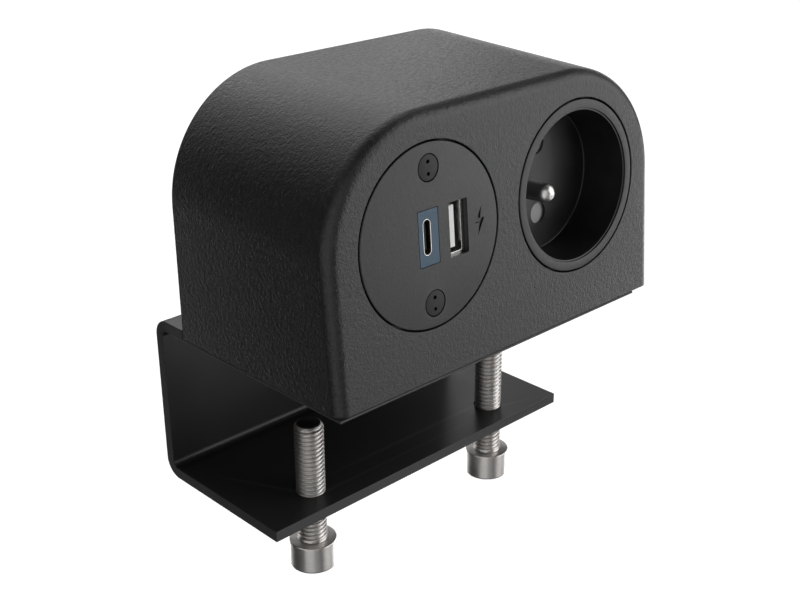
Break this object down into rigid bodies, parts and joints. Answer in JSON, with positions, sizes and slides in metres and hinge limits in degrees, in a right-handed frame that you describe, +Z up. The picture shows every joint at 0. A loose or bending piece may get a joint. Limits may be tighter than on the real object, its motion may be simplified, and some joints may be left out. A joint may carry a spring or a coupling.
{
  "type": "desk power strip",
  "caption": "Clamp-on desk power module: a black D-shaped casing with a recessed earthed socket and a USB charger, on a bent steel bracket with clamp screws.",
  "frame": {"origin": "on the underside of the bracket's top flange, the face that rests on a desk top, in the middle of the flange's length and below the middle of the casing's depth", "axes": "+Z up, -Y out of the casing's front with the socket and the charger, +X to the right as seen from the front"},
  "size_m": [0.1156, 0.0741, 0.132],
  "materials": {
    "textured_black": "fine grained moulded plastic, near black",
    "bracket_black": "smooth satin black powder coat on 3 mm sheet steel",
    "bezel_black": "fine matt moulded plastic",
    "black_nylon": "smooth nylon",
    "stainless_steel": "turned and rolled stainless steel",
    "zinc_plated_steel": "bright zinc plating",
    "nickel_plated": "polished nickel plating",
    "brass_contact": "drawn brass",
    "blue_grey_plastic": "blue-grey moulded plastic",
    "grey_plastic": "mid grey moulded plastic",
    "white_plastic": "off-white moulded plastic",
    "board_green": "green circuit board lacquer",
    "capacitor_sleeve": "dark shrink sleeve",
    "seal_rubber": "black seal rubber",
    "wire_brown": "brown wire insulation",
    "wire_blue": "blue wire insulation",
    "wire_green": "green wire insulation"
  },
  "bodies": {
    "housing": {"casing": "textured_black", "rear_cover": "textured_black", "cover_screw_1": "zinc_plated_steel", "cover_screw_2": "zinc_plated_steel", "cover_screw_3": "zinc_plated_steel", "cover_screw_4": "zinc_plated_steel", "clamp_bracket": "bracket_black", "bracket_screw_1": "zinc_plated_steel", "bracket_screw_2": "zinc_plated_steel", "bracket_screw_3": "zinc_plated_steel", "bracket_screw_4": "zinc_plated_steel", "charger_bezel": "bezel_black", "bezel_fastener_upper": "black_nylon", "bezel_fastener_lower": "black_nylon", "usb_c_insert": "blue_grey_plastic", "usb_c_shell": "nickel_plated", "usb_c_tongue": "black_nylon", "usb_a_shell": "nickel_plated", "usb_a_tongue": "white_plastic", "charger_board": "board_green", "transformer": "grey_plastic", "capacitor_1": "capacitor_sleeve", "capacitor_2": "capacitor_sleeve", "charger_can": "black_nylon", "socket_cup": "bezel_black", "earth_pin": "nickel_plated", "shutter_pin": "zinc_plated_steel", "shutter_spring": "zinc_plated_steel", "contact_upper": "brass_contact", "contact_lower": "brass_contact", "contact_carrier": "grey_plastic", "socket_base": "black_nylon", "retainer_plate": "zinc_plated_steel", "retainer_screw_upper": "zinc_plated_steel", "retainer_screw_lower": "zinc_plated_steel", "gland_body": "black_nylon", "gland_locknut": "black_nylon", "gland_cap": "black_nylon", "gland_seal": "seal_rubber", "terminal_block": "white_plastic", "terminal_screw_live": "zinc_plated_steel", "terminal_screw_earth": "zinc_plated_steel", "terminal_screw_neutral": "zinc_plated_steel", "wire_live": "wire_brown", "wire_neutral": "wire_blue", "wire_earth": "wire_green", "wire_charger_live": "wire_brown", "wire_charger_neutral": "wire_blue"},
    "tip_left": {"clamp_tip_left": "black_nylon"},
    "screw_left": {"clamp_screw_left": "stainless_steel"},
    "tip_right": {"clamp_tip_right": "black_nylon"},
    "screw_right": {"clamp_screw_right": "stainless_steel"},
    "shutter": {"shutter": "grey_plastic"}
  },
  "joints": [
    {"name": "clamp_slide_left", "type": "slide", "parent": "housing", "child": "tip_left", "axis": [0, 0, 1], "range_m": [-0.018, 0.0115]},
    {"name": "clamp_turn_left", "type": "hinge", "parent": "tip_left", "child": "screw_left", "pos_m": [-0.0345, 0.005, -0.04], "axis": [0, 0, 1], "range_deg": [-5180, 3310]},
    {"name": "clamp_slide_right", "type": "slide", "parent": "housing", "child": "tip_right", "axis": [0, 0, 1], "range_m": [-0.018, 0.0115]},
    {"name": "clamp_turn_right", "type": "hinge", "parent": "tip_right", "child": "screw_right", "pos_m": [0.0345, 0.005, -0.04], "axis": [0, 0, 1], "range_deg": [-5180, 3310]},
    {"name": "shutter_turn", "type": "hinge", "parent": "housing", "child": "shutter", "pos_m": [0.03065, -0.01251, 0.03487], "axis": [0, -0.9969, 0.0785], "range_deg": [0, 40], "stiffness_Nm_per_rad": 0.01}
  ],
  "couplings": [
    {"joint": "clamp_slide_left", "follows": "clamp_turn_left", "m_per_rad": 0.00019894},
    {"joint": "clamp_slide_right", "follows": "clamp_turn_right", "m_per_rad": 0.00019894}
  ]
}
